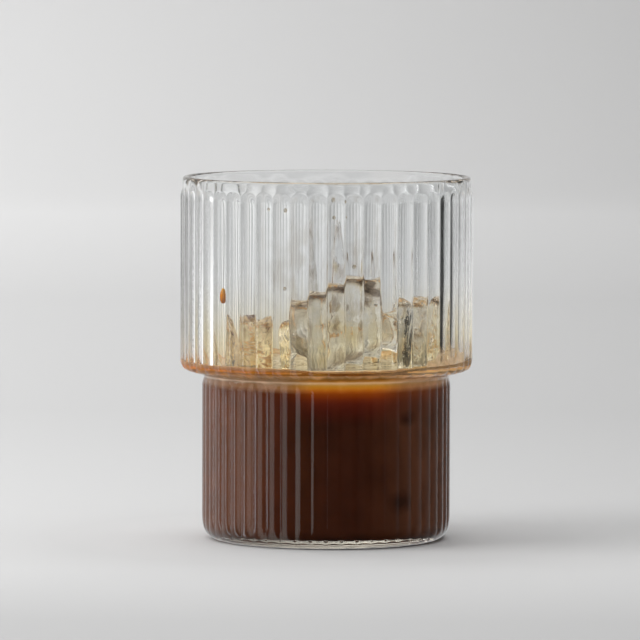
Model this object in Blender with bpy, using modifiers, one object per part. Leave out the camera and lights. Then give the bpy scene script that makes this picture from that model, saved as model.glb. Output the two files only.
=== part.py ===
"""An iced espresso in a ribbed stacking tumbler, about 80 mm across and 100 mm high.

The tumbler stands on the XY plane with its axis on Z. Lengths are in metres and angles in radians.
"""

import math

import bmesh
import bpy
from mathutils import Euler, Vector

# Tumbler, outside. A rib's valley lies on the plain wall and its crest stands proud of it.
HEIGHT = 0.0993
UPPER_WALL = 0.03945
LOWER_WALL = 0.03355
RIB_COUNT = 50
RIB_DEPTH = 0.00055
RIB_TOP = 0.0965
RIB_RUNOUT = 0.0030
NECK_TOP = 0.0441
NECK_FILLET = 0.0012
UNDERSIDE_SLOPE = math.radians(18)
SHOULDER_ROUND = 0.0030
BASE_ROUND = 0.0038
LIP_ROUND = 0.0007
LIP_FLAT = 0.0004
STEPS_PER_RIB = 4

# Tumbler, inside. The inner wall is smooth, and follows the outer one at the shoulder.
WALL = 0.0017
BASE_THICKNESS = 0.0031
INNER_BASE_ROUND = 0.0030
INNER_SIDES = 60
CUTTER_RISE = 0.0020

# Drink.
GAP = 0.0003
COFFEE_LEVEL = 0.0480
CREMA_THICKNESS = 0.0008
CREMA_WIDTH = 0.0042
CREMA_WAVE = 0.0012
FOAM_HEAP = 0.0022
FOAM_HEAP_ANGLE = math.radians(-14)
FOAM_HEAP_SPREAD = math.radians(17)

# Ice. Each piece has a centre, half sizes, a turn in degrees, how much it narrows upwards, and a seed
# for its uneven melting.
ICE_SQUARENESS = 5.0
ICE_CUTS = 5
ICE_UNEVENNESS = 0.045
ICE = {
    "ice_centre": ((0.0037, -0.0240, 0.0599), (0.0134, 0.0068, 0.0108), (-9, -24, 2), 0.0, 5.4),
    "ice_right": ((0.0254, -0.0158, 0.0576), (0.0058, 0.0050, 0.0094), (-3, -6, 50), 0.05, 2.3),
    "ice_left": ((-0.0200, -0.0160, 0.0535), (0.0070, 0.0062, 0.0082), (-6, 9, -38), 0.1, 4.1),
    "ice_shard": ((0.0008, -0.0050, 0.0668), (0.0066, 0.0041, 0.0200), (3, 2, 10), 0.78, 5.6),
    "ice_chip": ((0.0125, 0.0035, 0.0623), (0.0042, 0.0034, 0.0160), (-3, 4, -12), 0.75, 3.4),
}

UPPER_BORE = UPPER_WALL - WALL
LOWER_BORE = LOWER_WALL - WALL


def clear_scene():
    for obj in list(bpy.data.objects):
        bpy.data.objects.remove(obj, do_unlink=True)


def new_collection(name):
    collection = bpy.data.collections.new(name)
    bpy.context.scene.collection.children.link(collection)
    return collection


def make_material(name, colour, roughness, transmission, ior):
    material = bpy.data.materials.new(name)
    material.use_nodes = True
    shader = material.node_tree.nodes["Principled BSDF"]
    shader.inputs["Base Color"].default_value = (*colour, 1.0)
    shader.inputs["Roughness"].default_value = roughness
    shader.inputs["Metallic"].default_value = 0.0
    shader.inputs["Transmission Weight"].default_value = transmission
    shader.inputs["IOR"].default_value = ior
    return material


def arc(centre, radius, start, end, steps):
    """Points from one angle to another, in degrees, about a centre given as (radius, height)."""
    points = []
    for step in range(steps + 1):
        angle = math.radians(start + (end - start) * step / steps)
        points.append((centre[0] + radius * math.cos(angle), centre[1] + radius * math.sin(angle)))
    return points


def turned(name, profile, sides, collection):
    """The profile, listed from the top down its outer side, turned round Z."""
    mesh = bpy.data.meshes.new(name)
    corners = [(radius, 0.0, height) for radius, height in profile]
    mesh.from_pydata(corners, [(i, i + 1) for i in range(len(corners) - 1)], [])
    obj = bpy.data.objects.new(name, mesh)
    collection.objects.link(obj)
    screw = obj.modifiers.new("Turn", "SCREW")
    screw.axis = "Z"
    screw.angle = math.tau
    screw.steps = sides
    screw.render_steps = sides
    screw.use_merge_vertices = True
    screw.merge_threshold = 1e-6
    return obj


def apply_modifiers(obj):
    bpy.context.view_layer.update()
    graph = bpy.context.evaluated_depsgraph_get()
    mesh = bpy.data.meshes.new_from_object(obj.evaluated_get(graph))
    obj.modifiers.clear()
    obj.data = mesh


def cut(obj, cutter):
    boolean = obj.modifiers.new(f"Cut {cutter.name}", "BOOLEAN")
    boolean.operation = "DIFFERENCE"
    boolean.object = cutter


def hide_cutter(obj):
    obj.hide_render = True
    obj.display_type = "WIRE"


def finish(obj, material, smooth_degrees):
    obj.data.materials.clear()
    obj.data.materials.append(material)
    obj.data.shade_smooth()
    obj.data.set_sharp_from_angle(angle=math.radians(smooth_degrees))


def ledge_ends():
    """The ends of the ledge's sloping underside, at the neck fillet and at the shoulder round."""
    inner = LOWER_WALL + NECK_FILLET * (1 - math.sin(UNDERSIDE_SLOPE))
    outer = UPPER_WALL - SHOULDER_ROUND * (1 - math.sin(UNDERSIDE_SLOPE))
    low = NECK_TOP + NECK_FILLET * math.cos(UNDERSIDE_SLOPE)
    return (inner, low), (outer, low + (outer - inner) * math.tan(UNDERSIDE_SLOPE))


def outer_corners():
    """Centres of the outer profile's rounds: shoulder, neck fillet and base."""
    rise = SHOULDER_ROUND * math.cos(UNDERSIDE_SLOPE)
    shoulder = (UPPER_WALL - SHOULDER_ROUND, ledge_ends()[1][1] + rise)
    neck = (LOWER_WALL + NECK_FILLET, NECK_TOP)
    base = (LOWER_WALL - BASE_ROUND, BASE_ROUND)
    return shoulder, neck, base


def outer_profile():
    """The outer wall along a rib's valley, from the middle of the rim's plane to the base's."""
    shoulder, neck, base = outer_corners()
    lip = (UPPER_WALL - LIP_ROUND, HEIGHT - LIP_ROUND)
    slope = math.degrees(UNDERSIDE_SLOPE)
    profile = [(0.0, HEIGHT)]
    profile += arc(lip, LIP_ROUND, 90, 0, 2)
    profile += [(UPPER_WALL, RIB_TOP - RIB_RUNOUT * share) for share in (0.0, 0.4, 1.0)]
    profile += arc(shoulder, SHOULDER_ROUND, 0, slope - 90, 3)
    profile += arc(neck, NECK_FILLET, 90 + slope, 180, 2)
    profile += arc(base, BASE_ROUND, 0, -90, 3)
    profile.append((0.0, 0.0))
    return profile


def wall_direction(radius, height):
    """The way out of the outer wall at a point of its profile, as (radial, vertical)."""
    shoulder, neck, base = outer_corners()
    inner, outer = ledge_ends()
    if height >= shoulder[1]:
        return 1.0, 0.0
    if radius > outer[0]:
        away = Vector((radius - shoulder[0], height - shoulder[1]))
    elif radius > inner[0]:
        away = Vector((math.sin(UNDERSIDE_SLOPE), -math.cos(UNDERSIDE_SLOPE)))
    elif height > neck[1]:
        away = Vector((neck[0] - radius, neck[1] - height))
    elif height < base[1]:
        away = Vector((radius - base[0], height - base[1]))
    else:
        return 1.0, 0.0
    away.normalize()
    return away.x, away.y


def rib_height(angle, height):
    """How far a rib stands out. Its section is an arch, and so is its upper end."""
    across = abs(math.sin(RIB_COUNT * (angle + math.pi / 2) / 2))
    end = RIB_TOP - RIB_RUNOUT * (1 - across) * 0.5
    upper = min(1.0, max(0.0, (end - height) / (RIB_RUNOUT * 0.5)))
    lower = min(1.0, max(0.0, height / BASE_ROUND))
    return RIB_DEPTH * across * math.sqrt(upper) * math.sqrt(lower)


def raise_ribs(mesh):
    for vertex in mesh.vertices:
        radius = math.hypot(vertex.co.x, vertex.co.y)
        height = vertex.co.z
        if radius < LOWER_WALL - BASE_ROUND or height >= RIB_TOP:
            continue
        angle = math.atan2(vertex.co.y, vertex.co.x)
        out, up = wall_direction(radius, height)
        rise = rib_height(angle, height)
        vertex.co.x += math.cos(angle) * out * rise
        vertex.co.y += math.sin(angle) * out * rise
        vertex.co.z += up * rise


def bore_profile(gap):
    """The inner wall, drawn in by a gap, from the foot of its straight upper part down to the floor."""
    shoulder, neck, _ = outer_corners()
    slope = math.degrees(UNDERSIDE_SLOPE)
    floor = (LOWER_BORE - INNER_BASE_ROUND, BASE_THICKNESS + INNER_BASE_ROUND)
    profile = arc(shoulder, SHOULDER_ROUND - WALL - gap, 0, slope - 90, 3)
    profile += arc(neck, NECK_FILLET + WALL + gap, 90 + slope, 180, 3)
    profile += arc(floor, INNER_BASE_ROUND - gap, 0, -90, 3)
    profile.append((0.0, BASE_THICKNESS + gap))
    return profile


def bore_below(level, gap):
    """The part of the inner wall that lies under a level, starting on the level."""
    profile = bore_profile(gap)
    first = next(i for i, point in enumerate(profile) if point[1] < level)
    above, below = profile[first - 1], profile[first]
    share = (above[1] - level) / (above[1] - below[1])
    return [(above[0] + (below[0] - above[0]) * share, level)] + profile[first:]


def make_glass(collection, cutters):
    glass = turned("glass", outer_profile(), RIB_COUNT * STEPS_PER_RIB, collection)
    apply_modifiers(glass)
    raise_ribs(glass.data)
    mouth = UPPER_WALL - LIP_ROUND - LIP_FLAT
    lip = (mouth, HEIGHT - (mouth - UPPER_BORE))
    profile = [(0.0, HEIGHT + CUTTER_RISE), (mouth, HEIGHT + CUTTER_RISE)]
    profile += arc(lip, mouth - UPPER_BORE, 90, 180, 2)
    profile += bore_profile(0.0)
    bore = turned("bore_cutter", profile, INNER_SIDES, cutters)
    hide_cutter(bore)
    cut(glass, bore)
    finish(glass, make_material("clear_glass", (0.93, 0.95, 0.95), 0.02, 1.0, 1.5), 30)


def melt(direction, seed):
    """An ice face's unevenness, as a factor near 1, from three slow waves across its direction."""
    x, y, z = direction
    wave = math.sin(3.1 * x + 2.3 * y + seed) + math.sin(3.7 * y - 2.9 * z + 2.0 * seed)
    wave += 0.7 * math.sin(5.3 * z + 4.1 * x - 1.7 * seed)
    return 1.0 + ICE_UNEVENNESS * wave / 2.7


def ice_block(name, place, gap, collection):
    """A cube with its edges melted round, stretched, turned and set in place."""
    centre, half, turn, taper, seed = place
    mesh = bpy.data.meshes.new(name)
    shape = bmesh.new()
    bmesh.ops.create_cube(shape, size=2.0)
    bmesh.ops.subdivide_edges(shape, edges=shape.edges[:], cuts=ICE_CUTS, use_grid_fill=True)
    spin = Euler([math.radians(angle) for angle in turn]).to_matrix()
    for vertex in shape.verts:
        point = Vector(math.tan(value * math.pi / 4) for value in vertex.co)
        norm = sum(abs(value) ** ICE_SQUARENESS for value in point) ** (1 / ICE_SQUARENESS)
        point = point / norm * melt(point.normalized(), seed)
        narrow = 1 - taper * (point.z + 1) / 2
        point = Vector((point.x * narrow, point.y * narrow, point.z))
        sized = Vector(value * (size + gap) for value, size in zip(point, half))
        vertex.co = spin @ sized + Vector(centre)
    bmesh.ops.triangulate(shape, faces=shape.faces[:])
    shape.to_mesh(mesh)
    shape.free()
    obj = bpy.data.objects.new(name, mesh)
    collection.objects.link(obj)
    return obj


def make_ice(collection, cutters):
    """The ice pieces, and for each a slightly larger one that clears the drink round it."""
    material = make_material("clear_ice", (0.90, 0.92, 0.92), 0.08, 0.95, 1.31)
    clearances = []
    for name, place in ICE.items():
        finish(ice_block(name, place, 0.0, collection), material, 50)
        clearance = ice_block(f"{name}_clearance", place, GAP, cutters)
        hide_cutter(clearance)
        clearances.append(clearance)
    return clearances


def make_coffee(collection, clearances):
    profile = [(0.0, COFFEE_LEVEL)] + bore_below(COFFEE_LEVEL, GAP)
    coffee = turned("coffee", profile, INNER_SIDES, collection)
    for clearance in clearances:
        cut(coffee, clearance)
    finish(coffee, make_material("black_coffee", (0.055, 0.020, 0.010), 0.12, 0.0, 1.34), 30)


def crema_edge(angle):
    """How far the foam's inner edge wanders, from -1 to 1."""
    waves = math.sin(3 * angle + 0.6) + 0.8 * math.sin(7 * angle + 2.1)
    return (waves + 0.6 * math.sin(13 * angle - 1.0)) / 2.4


def heap_share(angle):
    """1 on the heap of foam at the right, falling to 0 away from it."""
    away = (angle - FOAM_HEAP_ANGLE + math.pi) % math.tau - math.pi
    return math.exp(-((away / FOAM_HEAP_SPREAD) ** 2))


def make_crema(collection, clearances):
    """A ring of foam afloat along the wall, with a wandering inner edge and a heap at the right."""
    low = COFFEE_LEVEL + GAP
    high = low + CREMA_THICKNESS
    wall_low = bore_below(low, GAP)[0][0]
    wall_high = bore_below(high, GAP)[0][0]
    inner = wall_low - CREMA_WIDTH
    middle = (inner + wall_high) / 2
    profile = [(wall_high, high), (wall_low, low), (inner, low)]
    profile += [(inner, (low + high) / 2), (middle, high), (wall_high, high)]
    crema = turned("crema", profile, INNER_SIDES, collection)
    apply_modifiers(crema)
    weld = bmesh.new()
    weld.from_mesh(crema.data)
    bmesh.ops.remove_doubles(weld, verts=weld.verts[:], dist=1e-6)
    for vertex in weld.verts:
        radius = math.hypot(vertex.co.x, vertex.co.y)
        angle = math.atan2(vertex.co.y, vertex.co.x)
        if radius < middle + 1e-5:
            share = 1.0 if radius < inner + 1e-5 else 0.5
            moved = radius + share * CREMA_WAVE * crema_edge(angle)
            vertex.co.x *= moved / radius
            vertex.co.y *= moved / radius
            if share == 0.5:
                vertex.co.z += FOAM_HEAP * heap_share(angle)
    weld.to_mesh(crema.data)
    weld.free()
    for clearance in clearances:
        cut(crema, clearance)
    finish(crema, make_material("crema_foam", (0.58, 0.27, 0.08), 0.55, 0.0, 1.4), 40)


def main():
    clear_scene()
    drink = new_collection("iced_espresso")
    cutters = new_collection("cutters")
    cutters.hide_render = True
    make_glass(drink, cutters)
    clearances = make_ice(drink, cutters)
    make_coffee(drink, clearances)
    make_crema(drink, clearances)


main()
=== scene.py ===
import math

import bpy
import numpy as np
from mathutils import Euler, Matrix, Vector


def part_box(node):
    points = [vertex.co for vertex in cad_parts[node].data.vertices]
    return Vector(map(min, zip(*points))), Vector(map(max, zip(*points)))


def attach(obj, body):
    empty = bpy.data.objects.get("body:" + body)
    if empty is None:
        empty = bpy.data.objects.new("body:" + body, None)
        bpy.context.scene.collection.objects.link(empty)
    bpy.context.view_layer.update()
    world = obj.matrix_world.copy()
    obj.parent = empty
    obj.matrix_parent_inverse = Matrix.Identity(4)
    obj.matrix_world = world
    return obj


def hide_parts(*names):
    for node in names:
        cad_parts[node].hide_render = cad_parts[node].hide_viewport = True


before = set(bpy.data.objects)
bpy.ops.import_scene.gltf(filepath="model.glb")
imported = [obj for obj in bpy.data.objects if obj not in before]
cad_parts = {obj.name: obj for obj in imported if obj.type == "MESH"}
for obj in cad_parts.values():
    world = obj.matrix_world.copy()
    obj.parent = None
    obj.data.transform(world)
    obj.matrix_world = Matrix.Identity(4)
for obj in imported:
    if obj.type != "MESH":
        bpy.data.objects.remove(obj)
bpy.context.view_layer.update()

mm = 0.001
front = -math.pi / 2  # the angle round Z that faces the camera
glassLow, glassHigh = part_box("glass")
height = glassHigh.z / mm
crest = glassHigh.x / mm
scene = bpy.context.scene
print("frame: glass", round(2 * crest, 1), "mm across and", round(height, 1), "mm high")


def toLinear(hexColour):
    # sRGB hex to linear: each channel c becomes ((c + 0.055) / 1.055) ^ 2.4, or c / 12.92 near black
    channels = [int(hexColour[i:i + 2], 16) / 255 for i in (1, 3, 5)]
    return tuple(c / 12.92 if c <= 0.04045 else ((c + 0.055) / 1.055) ** 2.4 for c in channels)


def setStops(ramp, stops):
    # each stop of a colour ramp is a place and a hex colour or a grey value
    while len(ramp.elements) < len(stops):
        ramp.elements.new(0.5)
    for element, (place, colour) in zip(ramp.elements, stops):
        element.position = place
        tone = toLinear(colour) if isinstance(colour, str) else (colour,) * 3
        element.color = (*tone, 1.0)


def addNode(tree, kind, settings=None, links=None):
    # settings are the node's own properties, its ramp's stops or, by socket name or number, input values
    node = tree.nodes.new("ShaderNode" + kind)
    for key, value in (settings or {}).items():
        if key == "stops":
            setStops(node.color_ramp, value)
        elif isinstance(key, str) and hasattr(node, key):
            setattr(node, key, value)
        else:
            node.inputs[key].default_value = value
    for key, source in (links or {}).items():
        tree.links.new(source, node.inputs[key])
    return node


def patternScale(size):
    # a texture's scale for features about this many millimetres across
    return 1 / (size * mm)


def newMaterial(name, settings):
    # a material of one shader, whose constant inputs are given here
    material = bpy.data.materials.new(name)
    material.use_nodes = True
    tree = material.node_tree
    tree.nodes.clear()
    shader = addNode(tree, "BsdfPrincipled", settings)
    addNode(tree, "OutputMaterial", links={"Surface": shader.outputs["BSDF"]})
    return material, tree, shader


def meshPiece(name, points, faces, material):
    # one object at the origin, with its place in its mesh, given in millimetres
    mesh = bpy.data.meshes.new(name)
    mesh.from_pydata((np.asarray(points) * mm).tolist(), [], faces)
    mesh.update()
    mesh.shade_smooth()
    mesh.materials.append(material)
    piece = bpy.data.objects.new(name, mesh)
    scene.collection.objects.link(piece)
    return piece


def roundGrid(points, poleStart=None, poleEnd=None, closedProfile=False):
    # quads over points[profile, turn], joined round the turn, with a fan to each pole that is given
    profileCount, turnCount = points.shape[:2]
    index = np.arange(profileCount * turnCount).reshape(profileCount, turnCount)
    nextTurn = np.roll(index, -1, axis=1)
    if closedProfile:
        upper = np.roll(index, -1, axis=0)
        upperNext = np.roll(nextTurn, -1, axis=0)
        faces = np.stack((index, nextTurn, upperNext, upper), -1).reshape(-1, 4).tolist()
    else:
        faces = np.stack((index[:-1], nextTurn[:-1], nextTurn[1:], index[1:]), -1).reshape(-1, 4).tolist()
    flat = points.reshape(-1, 3)
    if poleStart is not None:
        pole = len(flat)
        flat = np.vstack((flat, [poleStart]))
        faces += np.column_stack((nextTurn[0], index[0], np.full(turnCount, pole))).tolist()
    if poleEnd is not None:
        pole = len(flat)
        flat = np.vstack((flat, [poleEnd]))
        faces += np.column_stack((index[-1], nextTurn[-1], np.full(turnCount, pole))).tolist()
    return flat, faces


def arcPoints(centre, radius, start, end, steps):
    # a circle's stretch: centre + radius * (cos, sin) from start to end degrees
    angle = np.radians(np.linspace(start, end, steps + 1))
    return np.column_stack((centre[0] + radius * np.cos(angle), centre[1] + radius * np.sin(angle)))


def turned(radius, angle, z):
    # points at a radius and an angle round Z and a height, all three stretched to one grid
    return np.stack(np.broadcast_arrays(radius * np.cos(angle), radius * np.sin(angle), z), -1)


def ballGrid(rows, columns):
    # the latitudes between a ball's poles, as a column, and its longitudes, as a row
    lat = np.linspace(-math.pi / 2, math.pi / 2, rows)[1:-1][:, None]
    return lat, (np.arange(columns) / columns * 2 * math.pi)[None, :]


def smoothStep(low, high, value):
    # 0 below low and 1 above high, with 3t^2 - 2t^3 between them
    t = np.clip((value - low) / (high - low), 0, 1)
    return t * t * (3 - 2 * t)


def axisDistance(tree, place):
    # a point's distance from the glass's axis
    flat = addNode(tree, "VectorMath", {"operation": "MULTIPLY", 1: (1, 1, 0)}, {0: place})
    return addNode(tree, "VectorMath", {"operation": "LENGTH"}, {0: flat.outputs[0]}).outputs["Value"]


def waves(angle, terms):
    # the sum of share * sin(count * angle + phase), over terms (share, count, phase)
    return sum(share * np.sin(count * angle + phase) for share, count, phase in terms)


# The tumbler: borosilicate glass blown into a ribbed mould, in millimetres
glass = {
    "ribCount": 50,
    "ribDepth": 0.55,
    "lowerRibDepth": 0.45,
    "ribTop": 96.5,
    "ribArch": 2.0,
    "ribFade": 2.6,
    "ribFoot": 6.5,
    "lowerRibTop": (42.0, 44.9),
    "upperRibFoot": (45.7, 47.5),
    "columnsPerRib": 14,
    "lowerWall": 33.55,
    "wall": 1.7,
    "baseThickness": 2.75,
    "neckTop": 44.1,
    "neckFillet": 1.2,
    "undersideSlope": 18.0,
    "shoulderRound": 3.0,
    "baseRound": 3.8,
    "innerBaseRound": 3.0,
    "waviness": 0.05,
    "inset": 0.35,
    "filmTones": ((0.0, "#ecd6a0"), (0.3, "#f3e6bf"), (0.65, "#f8f4e8"), (1.0, "#f8f9f9")),
    # the base slab's painted light, from its foot up: a painted reflection of the coffee, dark brown, then
    # cream
    "slabLightTones": ((0.0, "#a88c70"), (0.06, "#b49a80"), (0.12, "#faf0da"), (0.8, "#fbf6ec"), (1.0, "#ffffff")),
}
glass["upperWall"] = crest - glass["ribDepth"]
glass["upperBore"] = glass["upperWall"] - glass["wall"]
glass["lowerBore"] = glass["lowerWall"] - glass["wall"]


def ledgeCentres():
    # the centres of the neck fillet and the shoulder round, which the ledge's sloping underside joins
    slope = math.radians(glass["undersideSlope"])
    fillet, shoulderRound = glass["neckFillet"], glass["shoulderRound"]
    neck = (glass["lowerWall"] + fillet, glass["neckTop"])
    shoulderR = glass["upperWall"] - shoulderRound
    run = shoulderR - neck[0] + (shoulderRound + fillet) * math.sin(slope)
    rise = (shoulderRound + fillet) * math.cos(slope) + run * math.tan(slope)
    return neck, (shoulderR, glass["neckTop"] + rise)


glass["neck"], glass["shoulder"] = ledgeCentres()


def straightStops(start, end):
    # a straight run's ends with a point close to each, so that smooth shading stays flat between them
    start, end = np.array(start, float), np.array(end, float)
    step = (end - start) / np.linalg.norm(end - start) * glass["inset"]
    return np.array((start + step, end - step))


def outerProfile():
    # the valley line of the outer wall from near the middle of the base up to the lip
    upper, lower = glass["upperWall"], glass["lowerWall"]
    base = (lower - glass["baseRound"], glass["baseRound"])
    neck, shoulder, slope = glass["neck"], glass["shoulder"], glass["undersideSlope"]
    ribEnd = glass["ribTop"] - glass["ribArch"] - glass["ribFade"]
    foot = np.linspace(base[1] + glass["inset"], glass["ribFoot"], 8)
    end = np.linspace(glass["lowerRibTop"][0], neck[1] - glass["inset"], 8)
    runs = [
        np.array(((4.0, 0.0), (20.0, 0.0), (base[0] - 0.4, 0.0))),
        arcPoints(base, glass["baseRound"], -90, 0, 9),
        np.column_stack((np.full(8, lower), foot)),
        np.column_stack((np.full(8, lower), end)),
        arcPoints(neck, glass["neckFillet"], 180, 90 + slope, 6),
        arcPoints(shoulder, glass["shoulderRound"], slope - 90, 0, 10),
        straightStops((upper, shoulder[1]), (upper, ribEnd)),
        np.column_stack((np.full(20, upper), np.linspace(ribEnd, glass["ribTop"] + 0.2, 20))),
    ]
    return np.vstack(runs)


def boreProfile(reach, steps=8):
    # the inner wall from the shoulder round down to near the middle of the floor, pushed into the wall
    floorRound, floor, slope = glass["innerBaseRound"], glass["baseThickness"], glass["undersideSlope"]
    lower = glass["lowerBore"] + reach
    base = (glass["lowerBore"] - floorRound, floor + floorRound)
    runs = [
        arcPoints(glass["shoulder"], glass["shoulderRound"] - glass["wall"] + reach, 0, slope - 90, steps),
        arcPoints(glass["neck"], glass["neckFillet"] + glass["wall"] - reach, 90 + slope, 180, steps),
        straightStops((lower, glass["neckTop"]), (lower, base[1])),
        arcPoints(base, floorRound + reach, 0, -90, steps),
        np.array(((20.0, floor - reach), (4.0, floor - reach))),
    ]
    return np.vstack(runs)


def boreRadius(z, reach):
    # the inner wall's radius at a height below the straight upper part
    profile = boreProfile(reach, 24)[::-1]
    return np.interp(z, profile[:, 1], profile[:, 0])


def ribRise(angle, z):
    # over a rib's width, u from -1 to 1, its section is 1 - u^2, a little flatter below the ledge than above
    width = 2 * math.pi / glass["ribCount"]
    turn = (angle - front) / width
    u = 2 * (turn - np.floor(turn)) - 1
    above = smoothStep(*glass["upperRibFoot"], z)
    below = 1 - smoothStep(*glass["lowerRibTop"], z)
    section = (above * glass["ribDepth"] + below * glass["lowerRibDepth"]) * (1 - u * u)
    archTop = glass["ribTop"] - glass["ribArch"] * (1 - np.sqrt(np.clip(1 - u * u, 0, 1)))
    top = 1 - smoothStep(archTop - glass["ribFade"], archTop, z)
    foot = smoothStep(1.0, glass["ribFoot"], z)
    uneven = 1 + 0.05 * np.sin(np.floor(turn) * 2.4)
    return section * top * foot * uneven


def makeGlassMesh(material):
    # every profile point is turned round Z, and the outer ones move out of the wall by the rib's height
    columns = glass["ribCount"] * glass["columnsPerRib"]
    angle = front + np.arange(columns) / columns * 2 * math.pi
    outer = outerProfile()
    tangent = np.gradient(outer, axis=0)
    normal = np.column_stack((tangent[:, 1], -tangent[:, 0]))
    normal /= np.linalg.norm(normal, axis=1)[:, None]
    onWall = (outer[:, 0] > glass["lowerWall"] - glass["baseRound"] - 0.1)[:, None]
    rise = ribRise(angle[None, :], outer[:, 1][:, None]) * onWall
    outerR = outer[:, 0][:, None] + normal[:, 0][:, None] * rise
    outerZ = outer[:, 1][:, None] + normal[:, 1][:, None] * rise
    lipRound = glass["wall"] / 2
    lip = arcPoints((glass["upperWall"] - lipRound, height - lipRound), lipRound, 0, 180, 12)
    wallZ = np.linspace(height - lipRound - glass["inset"], glass["shoulder"][1] + glass["inset"], 24)
    innerWall = np.column_stack((np.full(24, glass["upperBore"]), wallZ))
    inner = np.vstack((innerWall, boreProfile(0.0)))
    drift = waves(angle, ((1.0, 3, 0.4), (0.8, 8, 1.9), (0.7, 17, 0.3), (0.5, 29, 2.2)))
    lean = np.sin(inner[:, 1][:, None] / 9.0 + 5 * np.sin(2 * angle)[None, :])
    uneven = drift[None, :] * (1 + 0.5 * lean) * smoothStep(2, 12, inner[:, 0])[:, None]
    innerR = inner[:, 0][:, None] + glass["waviness"] * uneven
    innerZ = np.repeat(inner[:, 1][:, None], columns, axis=1)
    lipR = np.repeat(lip[:, 0][:, None], columns, axis=1)
    lipZ = np.repeat(lip[:, 1][:, None], columns, axis=1)
    radius = np.vstack((outerR, lipR, innerR))
    z = np.vstack((outerZ, lipZ, innerZ))
    flat, faces = roundGrid(turned(radius, angle, z), (0, 0, 0), (0, 0, glass["baseThickness"]))
    piece = meshPiece("glassTumbler", flat, faces, material)
    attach(piece, "root")
    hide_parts("glass")


def wallFilmAndShade(tree, place, split):
    # pale yellow streaks that the drink left low on the inner wall, and painted shade, grey patches, higher
    # in the middle
    drawn = addNode(tree, "VectorMath", {"operation": "MULTIPLY", 1: (1, 1, 0.06)}, {0: place})
    streak = addNode(tree, "TexNoise", {"Scale": patternScale(3.125), "Detail": 3.0},
                     {"Vector": drawn.outputs[0]})
    ragged = addNode(tree, "Math", {"operation": "MULTIPLY_ADD", 1: 0.022, 2: -0.011},
                     {0: streak.outputs["Fac"]})
    level = addNode(tree, "Math", {"operation": "ADD"}, {0: split.outputs["Z"], 1: ragged.outputs[0]})
    fade = addNode(tree, "MapRange", {1: 0.047, 2: 0.070}, {0: level.outputs[0]})
    tone = addNode(tree, "ValToRGB", {"stops": glass["filmTones"]}, {"Fac": fade.outputs[0]})
    # painted shade: grey patches that darken the middle of the upper wall
    shadePatches = addNode(tree, "TexNoise", {"Scale": patternScale(6.67), "Detail": 2.0}, {"Vector": place})
    patchy = addNode(tree, "MapRange", {1: 0.48, 2: 0.66}, {0: shadePatches.outputs["Fac"]})
    across = addNode(tree, "MapRange", {1: -0.02, 2: 0.02}, {0: split.outputs["X"]})
    middle = addNode(tree, "ValToRGB", {"stops": ((0.0, 0.0), (0.2, 0.8), (0.7, 1.0), (1.0, 0.0))},
                     {"Fac": across.outputs[0]})
    up = addNode(tree, "MapRange", {1: 0.060, 2: 0.092}, {0: split.outputs["Z"]})
    band = addNode(tree, "ValToRGB", {"stops": ((0.0, 0.0), (0.2, 1.0), (0.7, 0.8), (1.0, 0.0))},
                   {"Fac": up.outputs[0]})
    where = addNode(tree, "Math", {"operation": "MULTIPLY"},
                    {0: middle.outputs["Color"], 1: band.outputs["Color"]})
    middleShade = addNode(tree, "Math", {"operation": "MULTIPLY"}, {0: patchy.outputs[0], 1: where.outputs[0]})
    return addNode(tree, "Mix", {"data_type": "RGBA", "blend_type": "MULTIPLY", 7: (*toLinear("#dcd4c8"), 1)},
                   {0: middleShade.outputs[0], 6: tone.outputs["Color"]}).outputs[2]


def clearGlassMaterial():
    # Borosilicate glass, mould-blown and fire-polished: colourless, sharp bright and dark lines at its ribs
    material, tree, shader = newMaterial(
        "borosilicateFirePolished", {"Roughness": 0.0, "IOR": 1.48, "Transmission Weight": 1.0})
    place = addNode(tree, "TexCoord").outputs["Object"]
    split = addNode(tree, "SeparateXYZ", links={"Vector": place})
    # the film and the painted shade lie on the inner wall alone, and above the drink
    radius = axisDistance(tree, place)
    inside = addNode(tree, "MapRange", {1: 0.03795, 2: 0.03815, 3: 1.0, 4: 0.0}, {0: radius})
    above = addNode(tree, "MapRange", {1: 0.0482, 2: 0.0490}, {0: split.outputs["Z"]})
    within = addNode(tree, "Math", {"operation": "MULTIPLY"}, {0: inside.outputs[0], 1: above.outputs[0]})
    stainedAndShaded = addNode(tree, "Mix", {"data_type": "RGBA", 6: (*toLinear("#f9fafa"), 1)},
                      {0: within.outputs[0], 7: wallFilmAndShade(tree, place, split)})
    # painted light: the base slab is painted cream for the light it gathers, with a painted reflection of the
    # coffee, a dark brown line, at its foot
    foot = addNode(tree, "MapRange", {1: 0.0, 2: 0.0048}, {0: split.outputs["Z"]})
    slab = addNode(tree, "ValToRGB", {"stops": glass["slabLightTones"]}, {"Fac": foot.outputs[0]})
    based = addNode(tree, "Mix", {"data_type": "RGBA", "blend_type": "MULTIPLY", 0: 1.0},
                    {6: stainedAndShaded.outputs[2], 7: slab.outputs["Color"]})
    tree.links.new(based.outputs[2], shader.inputs["Base Color"])
    return material


makeGlassMesh(clearGlassMaterial())
print("glass: made")


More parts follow.
